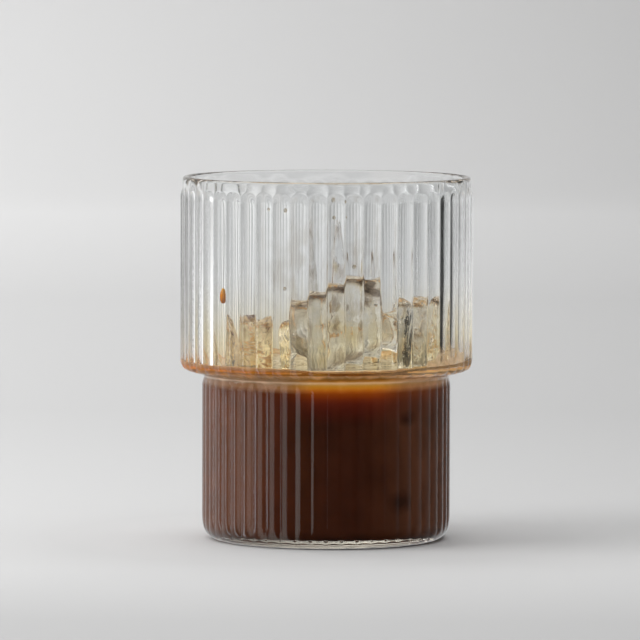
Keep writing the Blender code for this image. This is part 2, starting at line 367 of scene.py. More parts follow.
# The coffee: espresso over melting ice, thick enough to be black, amber only where light gets through it
coffee = {
    "level": 48.1,
    "reach": 0.25,
    "floorGap": 0.06,
    "meniscus": 0.3,
    "meniscusWidth": 1.1,
    "columns": 240,
    # two sunk cubes, each a place across and up and the reach of its dark patch
    "sunkIce": (((21.2, 34.6), 3.0), ((19.8, 12.2), 3.8)),
    # from the left edge to the right one: the drink against the wall, painted lighter towards both sides for
    # the light that falls there, with painted shade darkest near the middle, and how much amber light it lets
    # down
    "bodyTonesWithSideLight": ((0.0, "#82523c"), (0.19, "#72422c"), (0.31, "#5e2e1c"), (0.42, "#542a17"),
                  (0.62, "#5a2e1c"), (0.72, "#6e3e28"), (0.85, "#84543c"), (1.0, "#8c5c44")),
    "amberShare": ((0.0, 0.12), (0.25, 0.18), (0.36, 0.32), (0.45, 1.0), (0.7, 1.0), (0.8, 0.35),
                   (1.0, 0.22)),
    # upwards over the top 12 mm below the ledge
    "amberTones": ((0.0, "#000000"), (0.325, "#270000"), (0.47, "#380803"), (0.57, "#4f1602"),
                   (0.635, "#642400"), (0.70, "#723000"), (0.735, "#843c00"), (0.78, "#985004"),
                   (0.82, "#a4640c"), (0.89, "#a07020"), (0.96, "#a8804a"), (1.0, "#b8946a")),
    # on the ledge, from the neck outwards: a painted highlight line, the painted grey light of the glass, a
    # painted dark line of shade, then amber foam
    "ledgeLightAndFoamTones": {
        "left": ((0.0, "#b48a68"), (0.06, "#b89070"), (0.12, "#ffe8cc"), (0.2, "#ffe8cc"), (0.3, "#d8b088"),
                 (0.48, "#b8946c"), (0.72, "#d0a474"), (0.84, "#d89c5c"), (0.93, "#e48c20"),
                 (1.0, "#e07c04")),
        "middle": ((0.0, "#c89458"), (0.06, "#d8ac70"), (0.12, "#fff0d0"), (0.2, "#f8e4c0"), (0.3, "#dca45c"),
                   (0.48, "#c48c48"), (0.71, "#bc8438"), (0.78, "#cc9650"), (0.86, "#f0b878"),
                   (1.0, "#f4bc6c")),
        "right": ((0.0, "#dcb894"), (0.2, "#e4c09c"), (0.45, "#d8b28c"), (0.71, "#b48a66"), (0.78, "#b88e68"),
                  (0.86, "#ecbc88"), (0.94, "#ffcc8c"), (1.0, "#fcbc6c")),
    },
    "ledgeLight": ((0.25, 0.0312), (0.4, 0.078), (0.7, 0.078), (0.85, 0.26)),
    "neckLight": 0.08,
    # the crema skin on the surface, painted pale for the bright room it reflects
    "skinAndReflectionTones": ((0.3, "#94785a"), (0.46, "#d4c2a4"), (0.6, "#f2e8d6")),
}


def coffeeBody(tree, place, across, toFront):
    # red-brown against the wall, painted lighter towards the left and right for the light that falls there,
    # cloudy, with a soft dark patch at the front of each sunk cube
    body = addNode(tree, "ValToRGB", {"stops": coffee["bodyTonesWithSideLight"]}, {"Fac": across})
    cloud = addNode(tree, "TexNoise", {"Scale": patternScale(14.3), "Detail": 3.0},
                    {"Vector": place}).outputs["Fac"]
    cloudy = addNode(tree, "ValToRGB", {"stops": ((0.3, 0.8), (0.7, 1.2))}, {"Fac": cloud})
    colour = addNode(tree, "Mix", {"data_type": "RGBA", "blend_type": "MULTIPLY", 0: 1.0},
                     {6: body.outputs["Color"], 7: cloudy.outputs["Color"]}).outputs[2]
    upright = addNode(tree, "VectorMath", {"operation": "MULTIPLY", 1: (1, 0, 1)}, {0: place})
    ragged = 4.0 * mm
    for (x, z), reach in coffee["sunkIce"]:
        away = addNode(tree, "VectorMath", {"operation": "DISTANCE", 1: (x * mm, 0, z * mm)},
                       {0: upright.outputs[0]})
        uneven = addNode(tree, "Math", {"operation": "MULTIPLY_ADD", 1: ragged},
                         {0: cloud, 2: away.outputs["Value"]})
        start, end = (share * reach * mm + ragged / 2 for share in (0.2, 1.0))
        fade = addNode(tree, "MapRange", {1: start, 2: end, 3: 0.6, 4: 0.0}, {0: uneven.outputs[0]})
        patch = addNode(tree, "Math", {"operation": "MULTIPLY"}, {0: fade.outputs[0], 1: toFront})
        dark = addNode(tree, "ValToRGB", {"stops": ((0.0, "#24140c"), (1.0, "#1e1618"))},
                       {"Fac": patch.outputs[0]})
        colour = addNode(tree, "Mix", {"data_type": "RGBA"},
                         {0: patch.outputs[0], 6: colour, 7: dark.outputs["Color"]}).outputs[2]
    return colour


def ledgeColour(tree, radius, across, mottle):
    # three runs of tones from the neck out to the wall, for the left, the middle and the right, all mottled,
    # with painted highlight, glass light and dark lines among them
    wander = addNode(tree, "Math", {"operation": "MULTIPLY_ADD", 1: 0.0009, 2: -0.00045}, {0: mottle})
    moved = addNode(tree, "Math", {"operation": "ADD"}, {0: radius, 1: wander.outputs[0]})
    outward = addNode(tree, "MapRange", {1: 0.0318, 2: 0.0380}, {0: moved.outputs[0]})
    tones = {name: addNode(tree, "ValToRGB", {"stops": stops}, {"Fac": outward.outputs[0]}).outputs["Color"]
             for name, stops in coffee["ledgeLightAndFoamTones"].items()}
    toRight = addNode(tree, "MapRange", {1: 0.5, 2: 0.9}, {0: across})
    toMiddle = addNode(tree, "ValToRGB", {"stops": ((0.3, 0.0), (0.45, 1.0), (0.72, 1.0), (0.84, 0.0))},
                       {"Fac": across})
    sides = addNode(tree, "Mix", {"data_type": "RGBA"},
                    {0: toRight.outputs[0], 6: tones["left"], 7: tones["right"]})
    whole = addNode(tree, "Mix", {"data_type": "RGBA"},
                    {0: toMiddle.outputs["Color"], 6: sides.outputs[2], 7: tones["middle"]})
    speckle = addNode(tree, "ValToRGB", {"stops": ((0.3, 0.72), (0.5, 0.95), (0.7, 1.25))}, {"Fac": mottle})
    return addNode(tree, "Mix", {"data_type": "RGBA", "blend_type": "MULTIPLY", 0: 1.0},
                   {6: whole.outputs[2], 7: speckle.outputs["Color"]}).outputs[2]


def amberGlow(tree, upward, amberShare):
    # light that comes down through the clear ice glows amber in the top millimetres, most right of the middle
    rise = addNode(tree, "MapRange", {1: 0.0337, 2: 0.0457}, {0: upward})
    amber = addNode(tree, "ValToRGB", {"stops": coffee["amberTones"]}, {"Fac": rise.outputs[0]})
    return addNode(tree, "Mix", {"data_type": "RGBA", "blend_type": "MULTIPLY", 0: 1.0},
                   {6: amber.outputs["Color"], 7: amberShare}).outputs[2]


def espressoMaterial():
    # Espresso, a filtered suspension: near black in depth, red-brown at the wall, amber in a thin layer
    material, tree, shader = newMaterial("espressoLiquid", {"Roughness": 0.12, "IOR": 1.34})
    place = addNode(tree, "TexCoord").outputs["Object"]
    split = addNode(tree, "SeparateXYZ", links={"Vector": place})
    upward = split.outputs["Z"]
    across = addNode(tree, "MapRange", {1: -0.034, 2: 0.034}, {0: split.outputs["X"]}).outputs[0]
    toFront = addNode(tree, "MapRange", {1: 0.004, 2: -0.022}, {0: split.outputs["Y"]}).outputs[0]
    radius = axisDistance(tree, place)
    lowered = addNode(tree, "VectorMath", {"operation": "MULTIPLY", 1: (1, 1, 0.4)}, {0: place})
    mottle = addNode(tree, "TexNoise", {"Scale": patternScale(4.35), "Detail": 4.0},
                     {"Vector": lowered.outputs[0]}).outputs["Fac"]
    amberShare = addNode(tree, "ValToRGB", {"stops": coffee["amberShare"]}, {"Fac": across}).outputs["Color"]
    ledge = ledgeColour(tree, radius, across, mottle)

    # where the drink is thin: at the wall above the ledge's foot, less on the neck where the amber light is
    atWall = addNode(tree, "MapRange", {1: 0.0306, 2: 0.0316}, {0: radius}).outputs[0]
    risen = addNode(tree, "MapRange", {1: 0.0420, 2: 0.0433}, {0: upward}).outputs[0]
    outward = addNode(tree, "MapRange", {1: 0.0330, 2: 0.0345}, {0: radius}).outputs[0]
    onNeck = addNode(tree, "Math", {"operation": "SUBTRACT", 0: 1.0}, {1: outward}).outputs[0]
    amberNeck = addNode(tree, "Math", {"operation": "MULTIPLY"}, {0: amberShare, 1: onNeck})
    kept = addNode(tree, "Math", {"operation": "MULTIPLY_ADD", 1: -0.85, 2: 1.0}, {0: amberNeck.outputs[0]})
    upper = addNode(tree, "Math", {"operation": "MULTIPLY"}, {0: atWall, 1: risen})
    thin = addNode(tree, "Math", {"operation": "MULTIPLY"},
                   {0: upper.outputs[0], 1: kept.outputs[0]}).outputs[0]
    # where the drink is thin it takes the ledge tones, painted light and shade among them
    colour = addNode(tree, "Mix", {"data_type": "RGBA"},
                     {0: thin, 6: coffeeBody(tree, place, across, toFront), 7: ledge})
    # the surface carries a skin of crema, open in places, painted pale for the bright room it reflects
    skinAndReflection = addNode(tree, "ValToRGB", {"stops": coffee["skinAndReflectionTones"]}, {"Fac": mottle})
    onTop = addNode(tree, "MapRange", {1: 0.0470, 2: 0.0476}, {0: upward})
    skinAndReflectionMask = addNode(tree, "Math", {"operation": "MULTIPLY"}, {0: onTop.outputs[0], 1: onNeck})
    topped = addNode(tree, "Mix", {"data_type": "RGBA"},
                     {0: skinAndReflectionMask.outputs[0], 6: colour.outputs[2], 7: skinAndReflection.outputs["Color"]})
    tree.links.new(topped.outputs[2], shader.inputs["Base Color"])

    # the light it lets through, at the front wall alone: amber below the ledge, the ledge's own tones on it
    ledgeLight = addNode(tree, "ValToRGB", {"stops": coffee["ledgeLight"]}, {"Fac": across})
    onLedge = addNode(tree, "Math", {"operation": "MULTIPLY"}, {0: ledgeLight.outputs["Color"], 1: outward})
    neckLight = addNode(tree, "Math", {"operation": "MULTIPLY", 1: coffee["neckLight"]}, {0: onNeck})
    lit = addNode(tree, "Math", {"operation": "MAXIMUM"}, {0: onLedge.outputs[0], 1: neckLight.outputs[0]})
    share = addNode(tree, "Math", {"operation": "MULTIPLY"}, {0: thin, 1: lit.outputs[0]})
    low = addNode(tree, "Mix", {"data_type": "RGBA", 7: (0, 0, 0, 1)},
                  {0: outward, 6: amberGlow(tree, upward, amberShare)})
    high = addNode(tree, "Mix", {"data_type": "RGBA", 6: (0, 0, 0, 1)}, {0: share.outputs[0], 7: ledge})
    caught = addNode(tree, "Mix", {"data_type": "RGBA", "blend_type": "ADD", 0: 1.0},
                     {6: low.outputs[2], 7: high.outputs[2]})
    strength = addNode(tree, "Math", {"operation": "MULTIPLY"}, {0: atWall, 1: toFront})
    tree.links.new(caught.outputs[2], shader.inputs["Emission Color"])
    tree.links.new(strength.outputs[0], shader.inputs["Emission Strength"])
    gloss = addNode(tree, "MapRange", {1: 0.0472, 2: 0.0480, 3: 0.0, 4: 0.5}, {0: upward})
    tree.links.new(gloss.outputs[0], shader.inputs["Specular IOR Level"])
    return material


# The ice: tray ice, melted round, in the places of the CAD pieces
ice = {
    "squareness": 5.0,
    "unevenness": 0.045,
    "cuts": 56,
    "bubbles": 14,
    "bubbleRadius": (0.1, 0.32),
    "edgeTones": ((0.0, "#fdfdfd"), (0.45, "#d8cec4"), (0.8, "#94857a"), (1.0, "#5a4e46")),
    "castTones": ((0.28, "#8c7e72"), (0.35, "#c8beb4"), (0.40, "#fafafa"), (0.58, "#fcfcfc"),
                  (0.66, "#f6e8c4"), (0.76, "#f0dcb0")),
    # each piece: its centre, half sizes, turn in degrees, how much it narrows upwards, and its melting's seed
    "pieces": {
        "ice_centre": ((3.7, -24.0, 59.9), (13.4, 6.8, 10.8), (-9, -24, 2), 0.0, 5.4),
        "ice_right": ((25.4, -15.8, 57.6), (5.8, 5.0, 9.4), (-3, -6, 50), 0.05, 2.3),
        "ice_left": ((-20.0, -16.0, 53.5), (7.0, 6.2, 8.2), (-6, 9, -38), 0.1, 4.1),
        "ice_shard": ((0.8, -5.0, 66.8), (6.6, 4.1, 20.0), (3, 2, 10), 0.78, 5.6),
        "ice_chip": ((12.5, 3.5, 62.3), (4.2, 3.4, 16.0), (-3, 4, -12), 0.75, 3.4),
    },
}


def cubeGrid(cuts):
    # the six faces of a cube from -1 to 1, each a square grid, joined where they meet
    side = np.linspace(-1, 1, cuts + 1)
    u, v = np.meshgrid(side, side, indexing="ij")
    one = np.ones_like(u)
    sheets = ((u, v, one), (v, u, -one), (one, u, v), (-one, v, u), (v, one, u), (u, -one, v))
    points, faces = [], []
    index = np.arange((cuts + 1) ** 2).reshape(cuts + 1, cuts + 1)
    quads = np.stack((index[:-1, :-1], index[1:, :-1], index[1:, 1:], index[:-1, 1:]), -1).reshape(-1, 4)
    for number, sheet in enumerate(sheets):
        points.append(np.stack(sheet, -1).reshape(-1, 3))
        faces.append(quads + number * (cuts + 1) ** 2)
    points, faces = np.vstack(points), np.vstack(faces)
    _, first, inverse = np.unique(np.round(points, 6), axis=0, return_index=True, return_inverse=True)
    return points[first], inverse.reshape(-1)[faces].tolist()


def edgeShare(cuts):
    # how near each point of the cube grid is to an edge of the cube, from 0 to 1
    second = np.sort(np.abs(cubeGrid(cuts)[0]), axis=1)[:, 1]
    return smoothStep(0.84, 1.0, second)


def iceShape(place, cuts, growth=0.0):
    # a cube brought to a superellipsoid, |x|^n + |y|^n + |z|^n = 1, times slow waves, then sized and placed
    centre, half, turn, taper, seed = place
    points, faces = cubeGrid(cuts)
    points = np.tan(points * math.pi / 4)
    norm = (np.abs(points) ** ice["squareness"]).sum(1) ** (1 / ice["squareness"])
    points = points / norm[:, None]
    x, y, z = (points / np.linalg.norm(points, axis=1)[:, None]).T
    wave = np.sin(3.1 * x + 2.3 * y + seed) + np.sin(3.7 * y - 2.9 * z + 2.0 * seed)
    wave = wave + 0.7 * np.sin(5.3 * z + 4.1 * x - 1.7 * seed)
    fine = np.sin(11 * x + 7 * z + seed) * np.sin(9 * y - 8 * x + 3 * seed) + 0.5 * np.sin(17 * z + 13 * y)
    fine = fine + 0.5 * np.sin(23 * x - 19 * z + 2 * seed) * np.sin(21 * z + 16 * y)
    points = points * (1 + ice["unevenness"] * wave / 2.7 + 0.012 * fine)[:, None]
    points[:, :2] *= (1 - taper * (points[:, 2] + 1) / 2)[:, None]
    teeth = np.sin(9 * x + seed) + 0.7 * np.sin(17 * x + 6 * y + 2 * seed)
    points[:, 2] += 0.05 * taper * teeth * smoothStep(0.5, 1.0, points[:, 2])
    points = points * (np.array(half) + growth)
    spin = np.array(Euler([math.radians(a) for a in turn]).to_matrix())
    return points @ spin.T + np.array(centre), faces


def iceBubbles(place, rng):
    # small air bubbles, each a closed ellipsoid whose faces look inwards, as it is a hollow in the ice
    centre, half, turn, taper, _ = place
    spin = np.array(Euler([math.radians(a) for a in turn]).to_matrix())
    lat, lon = ballGrid(9, 12)
    ball = np.stack((np.cos(lat) * np.cos(lon), np.cos(lat) * np.sin(lon), 1.7 * np.sin(lat) + 0 * lon), -1)
    points, faces, first = [], [], 0
    for _ in range(ice["bubbles"]):
        spot = rng.uniform(-0.72, 0.72, 3) * np.array(half)
        spot[:2] *= 1 - taper * (spot[2] / half[2] + 1) / 2
        radius = rng.uniform(*ice["bubbleRadius"])
        flat, quads = roundGrid(ball * radius, (0, 0, -1.7 * radius), (0, 0, 1.7 * radius))
        points.append(flat + spin @ spot + np.array(centre))
        faces += [[corner + first for corner in quad[::-1]] for quad in quads]
        first += len(flat)
    return np.vstack(points), faces


def clearIceMaterial():
    # Tray ice, slowly melting: clear and wet, rippled, its rounded edges dark where they turn the light away
    # the IOR is set below real ice's 1.31
    material, tree, shader = newMaterial(
        "trayIceWet", {"Roughness": 0.03, "IOR": 1.25, "Transmission Weight": 1.0})
    place = addNode(tree, "TexCoord").outputs["Object"]
    split = addNode(tree, "SeparateXYZ", links={"Vector": place})
    dimple = addNode(tree, "TexNoise", {"Scale": patternScale(3.846), "Detail": 2.0}, {"Vector": place})
    ripple = addNode(tree, "TexNoise", {"Scale": patternScale(1.613), "Detail": 2.0}, {"Vector": place})
    watery = addNode(tree, "MapRange", {1: 0.004, 2: 0.012, 3: 0.15, 4: 1.0}, {0: split.outputs["X"]})
    fine = addNode(tree, "Math", {"operation": "MULTIPLY"}, {0: ripple.outputs["Fac"], 1: watery.outputs[0]})
    relief = addNode(tree, "Math", {"operation": "ADD"}, {0: dimple.outputs["Fac"], 1: fine.outputs[0]})
    bump = addNode(tree, "Bump", {"Strength": 0.3, "Distance": 0.0006}, {"Height": relief.outputs[0]})
    edge = addNode(tree, "Attribute", {"attribute_name": "edge"})
    ragged = addNode(tree, "MapRange", {1: 0.35, 2: 0.6, 3: 0.35, 4: 1.0}, {0: ripple.outputs["Fac"]})
    upper = addNode(tree, "MapRange", {1: 0.062, 2: 0.070, 3: 0.6, 4: 1.5}, {0: split.outputs["Z"]})
    broken = addNode(tree, "Math", {"operation": "MULTIPLY"}, {0: edge.outputs["Fac"], 1: ragged.outputs[0]})
    dark = addNode(tree, "Math", {"operation": "MULTIPLY", "use_clamp": True},
                   {0: broken.outputs[0], 1: upper.outputs[0]})
    rimmed = addNode(tree, "ValToRGB", {"stops": ice["edgeTones"]}, {"Fac": dark.outputs[0]})
    # inside it, brown shadows of the drink and yellow light in patches
    patches = addNode(tree, "TexNoise", {"Scale": patternScale(8.696), "Detail": 3.0}, {"Vector": place})
    cast = addNode(tree, "ValToRGB", {"stops": ice["castTones"]}, {"Fac": patches.outputs["Fac"]})
    tone = addNode(tree, "Mix", {"data_type": "RGBA", "blend_type": "MULTIPLY", 0: 1.0},
                   {6: rimmed.outputs["Color"], 7: cast.outputs["Color"]})
    # the ice at the left is tinged pale amber
    tinged = addNode(tree, "MapRange", {1: -0.008, 2: -0.016, 4: 0.8}, {0: split.outputs["X"]})
    tinge = (*toLinear("#f6e6c0"), 1)
    amber = addNode(tree, "Mix", {"data_type": "RGBA", "blend_type": "MULTIPLY", 7: tinge},
                    {0: tinged.outputs[0], 6: tone.outputs[2]})
    tree.links.new(amber.outputs[2], shader.inputs["Base Color"])
    tree.links.new(bump.outputs["Normal"], shader.inputs["Normal"])
    return material


def makeIce():
    material = clearIceMaterial()
    rng = np.random.default_rng(7)
    for node, place in ice["pieces"].items():
        points, faces = iceShape(place, ice["cuts"])
        edges = edgeShare(ice["cuts"]) * (1 - place[3])
        bubbles, bubbleFaces = iceBubbles(place, rng)
        faces = faces + [[corner + len(points) for corner in face] for face in bubbleFaces]
        edges = np.concatenate((edges, np.zeros(len(bubbles))))
        piece = meshPiece(node.replace("ice_", "iceBlock_"), np.vstack((points, bubbles)), faces, material)
        piece.data.attributes.new("edge", "FLOAT", "POINT").data.foreach_set("value", edges)
        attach(piece, "root")
        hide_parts(node)


makeIce()
print("ice: made")


def makeCoffee(material):
    # the bore's own profile pushed just into the wall, closed by a surface that climbs the wall by a meniscus
    angle = np.arange(coffee["columns"]) / coffee["columns"] * 2 * math.pi
    bore = boreProfile(coffee["reach"], 12)
    bore[:, 1] = np.maximum(bore[:, 1], glass["baseThickness"] + coffee["floorGap"])
    top = coffee["level"] + coffee["meniscus"]
    bore = bore[bore[:, 1] <= top]
    edge = boreRadius(top, coffee["reach"])
    radii = edge - np.concatenate((np.linspace(0, 4, 14), np.linspace(5, edge - 3, 12)))
    climb = coffee["level"] + coffee["meniscus"] * np.exp(-(edge - radii) / coffee["meniscusWidth"])
    surface = np.column_stack((radii, climb))[::-1]
    profile = np.vstack((surface, bore))[::-1]
    radius = profile[:, 0][:, None]
    points = turned(radius, angle, profile[:, 1][:, None])
    flat, faces = roundGrid(points, (0, 0, profile[0, 1]), (0, 0, profile[-1, 1]))
    piece = meshPiece("espresso", flat, faces, material)
    for place in ice["pieces"].values():
        shape, quads = iceShape(place, 24, -coffee["reach"])
        cutter = meshPiece("cutter", shape, quads, material)
        boolean = piece.modifiers.new("cutRoundIce", "BOOLEAN")
        boolean.operation = "DIFFERENCE"
        boolean.object = cutter
        graph = bpy.context.evaluated_depsgraph_get()
        cutMesh = bpy.data.meshes.new_from_object(piece.evaluated_get(graph))
        piece.modifiers.clear()
        piece.data = cutMesh
        bpy.data.objects.remove(cutter, do_unlink=True)
    piece.data.name = "espresso"
    piece.data.shade_smooth()
    piece.data.set_sharp_from_angle(angle=math.radians(40))
    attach(piece, "root")
    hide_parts("coffee")


makeCoffee(espressoMaterial())
print("coffee: made")


# The crema: a ring of fine foam on the ledge, up against the wall, with a heap at the right
crema = {
    "bottom": 47.9,
    "top": 49.05,
    "width": 4.2,
    "wave": 1.2,
    "heap": 2.2,
    "heapAngle": math.radians(-14),
    "heapSpread": math.radians(17),
    "columns": 720,
    "lump": 0.16,
    "thinAngle": front + math.radians(12),
    "thinSpread": math.radians(24),
    "thinShare": 0.72,
    "goldenTones": ((0.25, "#a45a08"), (0.5, "#c07010"), (0.75, "#d89030")),
    "creamyTones": ((0.25, "#d0a878"), (0.5, "#ecc894"), (0.75, "#fce4bc")),
}


def cremaMaterial():
    # Crema, the oily foam of espresso: golden tan, fine open bubbles, darker where it has thinned
    material, tree, shader = newMaterial("cremaFoam", {"Roughness": 0.45, "IOR": 1.36})
    place = addNode(tree, "TexCoord").outputs["Object"]
    bubbles = addNode(tree, "TexVoronoi", {"Scale": patternScale(0.909)}, {"Vector": place})
    drift = addNode(tree, "TexNoise", {"Scale": patternScale(5.556), "Detail": 4.0}, {"Vector": place})
    golden = addNode(tree, "ValToRGB", {"stops": crema["goldenTones"]}, {"Fac": drift.outputs["Fac"]})
    creamy = addNode(tree, "ValToRGB", {"stops": crema["creamyTones"]}, {"Fac": drift.outputs["Fac"]})
    split = addNode(tree, "SeparateXYZ", links={"Vector": place})
    radius = axisDistance(tree, place)
    inner = addNode(tree, "MapRange", {1: 0.0374, 2: 0.0355}, {0: radius})
    high = addNode(tree, "MapRange", {1: 0.0484, 2: 0.0492, 4: 0.5}, {0: split.outputs["Z"]})
    right = addNode(tree, "MapRange", {1: 0.008, 2: 0.022, 4: 0.7}, {0: split.outputs["X"]})
    most = addNode(tree, "Math", {"operation": "MAXIMUM"}, {0: inner.outputs[0], 1: high.outputs[0]})
    pale = addNode(tree, "Math", {"operation": "MAXIMUM"}, {0: most.outputs[0], 1: right.outputs[0]})
    tone = addNode(tree, "Mix", {"data_type": "RGBA"},
                   {0: pale.outputs[0], 6: golden.outputs["Color"], 7: creamy.outputs["Color"]})
    pore = addNode(tree, "ValToRGB", {"stops": ((0.0, 0.75), (0.4, 1.05))},
                   {"Fac": bubbles.outputs["Distance"]})
    colour = addNode(tree, "Mix", {"data_type": "RGBA", "blend_type": "MULTIPLY", 0: 0.8},
                     {6: tone.outputs[2], 7: pore.outputs["Color"]})
    tree.links.new(colour.outputs[2], shader.inputs["Base Color"])
    bump = addNode(tree, "Bump", {"Strength": 0.5, "Distance": 0.0003},
                   {"Height": bubbles.outputs["Distance"]})
    tree.links.new(bump.outputs["Normal"], shader.inputs["Normal"])
    return material


def makeCrema(material):
    # a ring with an arched top; its inner edge wanders by waves of 3 to 67 a turn, and small lumps cover it
    angle = np.arange(crema["columns"]) / crema["columns"] * 2 * math.pi
    wander = waves(angle, ((1.0, 3, 0.6), (0.8, 7, 2.1), (0.6, 13, -1.0))) / 2.4
    wander = wander + 0.18 * waves(angle, ((1.0, 41, 0.2), (0.8, 67, 1.1)))
    away = (angle - crema["heapAngle"] + math.pi) % (2 * math.pi) - math.pi
    heap = crema["heap"] * np.exp(-((away / crema["heapSpread"]) ** 2))
    share = np.linspace(0, 1, 15)[:, None]
    wall = boreRadius(np.array((crema["bottom"], crema["top"])), coffee["reach"])
    inner = wall[0] - crema["width"] + crema["wave"] * wander
    across = wall[1] + (inner - wall[1]) * share
    lumps = waves(angle + share * 0.35, ((1.0, 57, 0.0), (0.8, 91, 1.3), (0.7, 139, 2.0)))
    arch = np.sqrt(np.clip(1 - share ** 2.5, 0, 1))
    aside = (angle - crema["thinAngle"] + math.pi) % (2 * math.pi) - math.pi
    arch = arch * (1 - crema["thinShare"] * np.exp(-((aside / crema["thinSpread"]) ** 4)))
    relief = heap * np.sin(math.pi * np.clip(share * 1.15, 0, 1))
    relief = relief + crema["lump"] * lumps * np.sin(math.pi * share)
    topZ = crema["bottom"] + (crema["top"] - crema["bottom"]) * arch + relief
    under = wall[0] + (inner - wall[0]) * np.linspace(0.96, 0, 8)[:, None]
    underZ = np.full_like(under, crema["bottom"] - 0.15)
    radius = np.vstack((across, under))
    z = np.vstack((topZ, underZ))
    flat, faces = roundGrid(turned(radius, angle, z)[::-1], closedProfile=True)
    piece = meshPiece("cremaRing", flat, faces, material)
    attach(piece, "root")
    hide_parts("crema")


makeCrema(cremaMaterial())
print("crema: made")


# The foam that clings to the wall at the right, above the heap
foam = {"angles": (-46.0, -14.0), "low": 48.3, "rise": 8.0, "thickness": 0.4}


def clingingFoamMaterial():
    # Drying crema in a thin layer: pale golden, and see-through where it is thinnest, at its upper edge
    # the emission stands for the light that comes through it from behind
    material, tree, shader = newMaterial("cremaClinging", {"Emission Strength": 0.3, "Roughness": 0.5})
    place = addNode(tree, "TexCoord").outputs["Object"]
    upward = addNode(tree, "SeparateXYZ", links={"Vector": place}).outputs["Z"]
    drift = addNode(tree, "TexNoise", {"Scale": patternScale(3.333), "Detail": 4.0}, {"Vector": place})
    tone = addNode(tree, "ValToRGB", {"stops": ((0.3, "#dcb888"), (0.5, "#ecd0a8"), (0.7, "#fbead0"))},
                   {"Fac": drift.outputs["Fac"]})
    share = addNode(tree, "MapRange", {1: 0.0500, 2: 0.0558, 3: 0.8, 4: 0.15}, {0: upward})
    holes = addNode(tree, "ValToRGB", {"stops": ((0.35, 0.35), (0.6, 1.0))}, {"Fac": drift.outputs["Fac"]})
    alpha = addNode(tree, "Math", {"operation": "MULTIPLY"}, {0: share.outputs[0], 1: holes.outputs["Color"]})
    tree.links.new(tone.outputs["Color"], shader.inputs["Base Color"])
    tree.links.new(alpha.outputs[0], shader.inputs["Alpha"])
    tree.links.new(tone.outputs["Color"], shader.inputs["Emission Color"])
    return material


def makeClingingFoam(material):
    # a sheet on the inner wall whose top is an uneven hump, closed by a second face a little further in
    start, end = np.radians(foam["angles"])
    angle = np.linspace(start, end, 90)[:, None]
    share = (angle - start) / (end - start)
    ragged = 0.82 + 0.12 * np.sin(9 * share * math.pi + 0.7) + 0.06 * np.sin(31 * share)
    hump = np.sin(math.pi * share) ** 0.7 * ragged
    up = np.linspace(0, 1, 24)[None, :]
    z = foam["low"] + foam["rise"] * hump * up
    depth = foam["thickness"] * np.sqrt(np.clip(1 - up ** 3, 0, 1)) * np.sin(math.pi * share) ** 0.3
    wall = glass["upperBore"] + 0.05 + 0 * z
    sheets = [turned(radius, angle, z) for radius in (wall, wall - 0.02 - depth)]
    index = np.arange(angle.size * 24).reshape(-1, 24)
    outer = np.stack((index[:-1, :-1], index[1:, :-1], index[1:, 1:], index[:-1, 1:]), -1).reshape(-1, 4)
    inner = outer[:, ::-1] + index.size
    rim = np.concatenate((index[0, :-1], index[:-1, -1], index[-1, :0:-1], index[:0:-1, 0]))
    band = np.stack((rim, np.roll(rim, -1), np.roll(rim, -1) + index.size, rim + index.size), -1)
    faces = outer.tolist() + inner.tolist() + band.tolist()
    piece = meshPiece("clingingFoam", np.vstack([sheet.reshape(-1, 3) for sheet in sheets]), faces, material)
    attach(piece, "root")


makeClingingFoam(clingingFoamMaterial())
print("clinging foam: made")


# The drop: a bead of coffee stuck to the inside of the wall, above the drink
drop = {"angle": front - 0.815, "z": 68.2, "halfWidth": 0.7, "halfHeight": 2.1, "bulge": 0.7}


def dropMaterial():
    # A drying bead of crema and coffee: amber, glossy
    material, tree, shader = newMaterial("coffeeBead", {"Roughness": 0.2, "IOR": 1.2})
    place = addNode(tree, "TexCoord").outputs["Object"]
    upward = addNode(tree, "SeparateXYZ", links={"Vector": place}).outputs["Z"]
    along = addNode(tree, "MapRange", {1: (drop["z"] - 2) * mm, 2: (drop["z"] + 2) * mm}, {0: upward})
    tone = addNode(tree, "ValToRGB", {"stops": ((0.0, "#c86800"), (0.6, "#f09000"), (1.0, "#f4b040"))},
                   {"Fac": along.outputs[0]})
    tree.links.new(tone.outputs["Color"], shader.inputs["Base Color"])
    return material


def makeDrop(material):
    # an egg-shaped bead, wider below, its back pushed into the wall
    lat, lon = ballGrid(26, 32)
    egg = 1 - 0.22 * np.sin(lat)
    side = drop["halfWidth"] * egg * np.cos(lat) * np.cos(lon)
    inward = drop["bulge"] * egg * np.cos(lat) * np.sin(lon)
    up = drop["halfHeight"] * np.sin(lat) + 0 * lon
    radius = glass["upperBore"] + 0.1 - inward
    angle = drop["angle"] + side / glass["upperBore"]
    points = turned(radius, angle, drop["z"] + up)
    pole = [np.array((math.cos(drop["angle"]), math.sin(drop["angle"]), 0)) * (glass["upperBore"] + 0.1)
            + np.array((0, 0, drop["z"] + end * drop["halfHeight"])) for end in (-1, 1)]
    flat, faces = roundGrid(points, pole[0], pole[1])
    piece = meshPiece("coffeeDrop", flat, faces, material)
    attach(piece, "root")


makeDrop(dropMaterial())
print("drop: made")


# Splashes: beads of thin coffee on the inner wall, each an angle from the front, a height and a radius
splashes = {
    "flatness": 0.3,
    "beads": ((2.6, 94.6, 0.45), (7.4, 94.2, 0.35), (2.9, 90.0, 0.4), (8.0, 90.1, 0.3), (-24.2, 92.0, 0.35),
              (-17.0, 91.8, 0.45), (-17.2, 70.8, 0.4), (11.0, 76.8, 0.45)),
}


